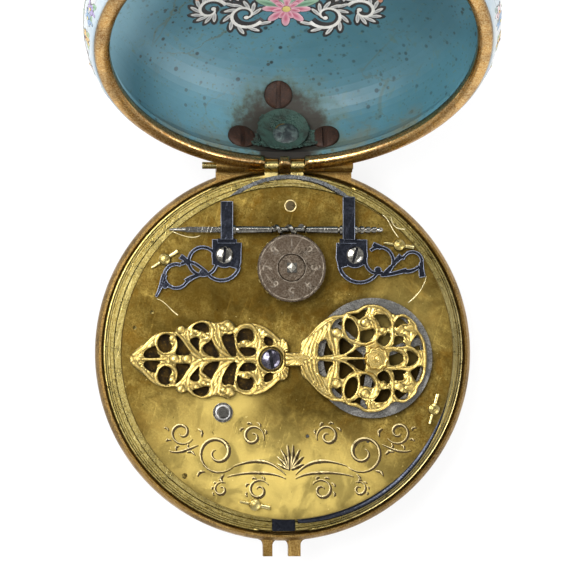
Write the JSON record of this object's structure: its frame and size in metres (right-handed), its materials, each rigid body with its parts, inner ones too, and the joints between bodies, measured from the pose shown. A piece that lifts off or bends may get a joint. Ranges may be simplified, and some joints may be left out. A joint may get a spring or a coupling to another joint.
{
  "type": "pocket watch",
  "caption": "Round key-wound verge pocket watch with an enamelled bowl case, hinged open over its fusee movement and pierced balance cock.",
  "frame": {"origin": "centre of the crystal's flat apex, on the movement's axis, where the watch lies on its dial side", "axes": "+Z from the dial to the back of the movement, +Y from the movement's axis to the hinge and the pendant, +X along the hinge"},
  "size_m": [0.0424, 0.0704, 0.0439],
  "materials": {
    "copper_brown_gilt": "worn gilt metal, copper brown",
    "crystal_glass": "clear",
    "pin_brass": "drawn",
    "gilt_brass": "fire-gilt, tarnished",
    "wheel_brass": "gilt",
    "dial_enamel": "white enamel",
    "blued_steel": "blued",
    "polished_steel": "polished",
    "balance_steel": "grey steel",
    "silvered_brass": "silvered, worn",
    "chain_steel": "dark steel",
    "gold_rim": "polished gold",
    "shell_metal": "metal under the enamel",
    "painted_enamel": "white enamel painted with flowers",
    "turquoise_enamel": "turquoise enamel",
    "verdigris_plate": "verdigris",
    "rusty_steel": "rusted"
  },
  "bodies": {
    "case": {"bezel_ring": "copper_brown_gilt", "crystal": "crystal_glass", "hinge_pin": "pin_brass"},
    "movement": {"pillar_plate": "gilt_brass", "dial": "dial_enamel", "dial_pins": "pin_brass", "pillars": "gilt_brass", "pillar_pins": "pin_brass", "top_plate": "gilt_brass", "potence": "wheel_brass", "counter_potence": "wheel_brass", "balance_cock": "gilt_brass", "cock_screw": "blued_steel", "worm_bracket_left": "blued_steel", "worm_bracket_right": "blued_steel", "bracket_screws": "polished_steel", "stop_block": "wheel_brass", "catch_spring": "blued_steel", "catch_screw": "polished_steel", "fusee_chain": "chain_steel"},
    "fusee_group": {"great_wheel": "wheel_brass", "fusee": "wheel_brass", "fusee_arbor": "polished_steel", "winding_collar": "blued_steel", "motion_pinion": "polished_steel"},
    "barrel_group": {"barrel_drum": "wheel_brass", "barrel_cap": "wheel_brass", "mainspring": "polished_steel"},
    "setup_group": {"barrel_arbor": "polished_steel", "setup_wheel": "wheel_brass", "setup_disc": "silvered_brass"},
    "worm_group": {"worm": "polished_steel"},
    "second_group": {"second_wheel": "wheel_brass", "second_arbor": "polished_steel"},
    "contrate_group": {"contrate_wheel": "wheel_brass", "contrate_arbor": "polished_steel"},
    "crown_group": {"crown_wheel": "wheel_brass", "crown_arbor": "polished_steel"},
    "balance_group": {"verge_staff": "polished_steel", "balance_wheel": "balance_steel"},
    "hour_group": {"hour_wheel": "wheel_brass", "hour_hand": "blued_steel"},
    "stop_lever": {"stop_arm": "polished_steel"},
    "catch": {"catch_bolt": "blued_steel"},
    "bowl": {"bowl_rim": "gold_rim", "bowl_shell": "shell_metal", "outer_enamel": "painted_enamel", "inner_enamel": "turquoise_enamel", "pendant": "gold_rim", "pendant_plate": "verdigris_plate", "pendant_screws": "rusty_steel"},
    "bow_ring": {"bow": "gold_rim"}
  },
  "joints": [
    {"name": "movement_swing", "type": "hinge", "parent": "case", "child": "movement", "pos_m": [0, 0.0198, 0.0085], "axis": [-1, 0, 0], "range_deg": [0, 5]},
    {"name": "bowl_swing", "type": "hinge", "parent": "movement", "child": "bowl", "pos_m": [0, 0.0198, 0.0085], "axis": [-1, 0, 0], "range_deg": [-124, 0]},
    {"name": "bow_swing", "type": "hinge", "parent": "bowl", "child": "bow_ring", "pos_m": [0, 0.02007, 0.00138], "axis": [-1, 0, 0], "range_deg": [-2, 115]},
    {"name": "second_turn", "type": "hinge", "parent": "movement", "child": "second_group", "pos_m": [0.00208, -0.00867, 0.01], "axis": [0, 0, 1], "continuous": true},
    {"name": "fusee_turn", "type": "hinge", "parent": "movement", "child": "fusee_group", "pos_m": [-0.00675, -0.0062, 0.01], "axis": [0, 0, 1], "continuous": true},
    {"name": "barrel_turn", "type": "hinge", "parent": "movement", "child": "barrel_group", "pos_m": [0.0003, 0.0088, 0.01], "axis": [0, 0, 1], "continuous": true},
    {"name": "contrate_turn", "type": "hinge", "parent": "movement", "child": "contrate_group", "pos_m": [0.0084, -0.0092, 0.01], "axis": [0, 0, 1], "continuous": true},
    {"name": "crown_turn", "type": "hinge", "parent": "movement", "child": "crown_group", "pos_m": [0.0088, -0.00055, 0.01098], "axis": [-0.0462, -0.9989, 0], "continuous": true},
    {"name": "hour_turn", "type": "hinge", "parent": "movement", "child": "hour_group", "pos_m": [0, 0, 0.005], "axis": [0, 0, 1], "continuous": true},
    {"name": "worm_turn", "type": "hinge", "parent": "movement", "child": "worm_group", "pos_m": [0, 0.01275, 0.01575], "axis": [1, 0, 0], "continuous": true},
    {"name": "setup_turn", "type": "hinge", "parent": "movement", "child": "setup_group", "pos_m": [0.0003, 0.0088, 0.01], "axis": [0, 0, 1], "continuous": true},
    {"name": "balance_swing", "type": "hinge", "parent": "movement", "child": "balance_group", "pos_m": [0.0088, -0.00055, 0.014], "axis": [0, 0, 1], "range_deg": [-45, 45]},
    {"name": "stop_lift", "type": "hinge", "parent": "movement", "child": "stop_lever", "pos_m": [-0.015, 0.0034, 0.01305], "axis": [-0.7483, -0.6633, 0], "range_deg": [0, 2]},
    {"name": "catch_slide", "type": "slide", "parent": "movement", "child": "catch", "axis": [0, 1, 0], "range_m": [-0.0004, 0]}
  ],
  "couplings": [
    {"joint": "fusee_turn", "follows": "second_turn", "ratio": -0.13333},
    {"joint": "barrel_turn", "follows": "second_turn", "ratio": -0.054533},
    {"joint": "hour_turn", "follows": "second_turn", "ratio": 0.044444},
    {"joint": "contrate_turn", "follows": "second_turn", "ratio": -8},
    {"joint": "crown_turn", "follows": "second_turn", "ratio": 53.333},
    {"joint": "worm_turn", "follows": "setup_turn", "ratio": 16}
  ]
}
